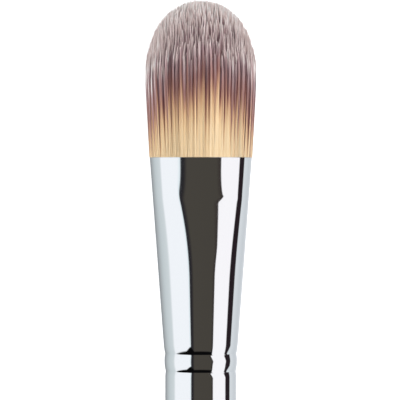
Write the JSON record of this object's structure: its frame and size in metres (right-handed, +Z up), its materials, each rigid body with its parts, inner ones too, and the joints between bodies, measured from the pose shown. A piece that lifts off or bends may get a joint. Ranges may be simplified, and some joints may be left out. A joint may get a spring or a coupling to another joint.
{
  "type": "foundation brush",
  "caption": "Makeup brush with a domed synthetic filament tuft, a bright plated ferrule with two rolled grooves, and a slim turned wooden handle, lying on its flat side.",
  "frame": {"origin": "on the surface it lies on, under the middle of its box", "axes": "+Z up, +Y along the brush towards the tip of the tuft, X across the tuft's wide side"},
  "size_m": [0.0196, 0.182, 0.0156],
  "materials": {
    "filament": "matte",
    "plated_brass": "polished",
    "cured_glue": "glossy",
    "lacquered_wood": "glossy"
  },
  "bodies": {
    "root": {"bristle_tuft": "filament", "ferrule": "plated_brass", "glue_plug": "cured_glue", "handle": "lacquered_wood"}
  },
  "joints": []
}
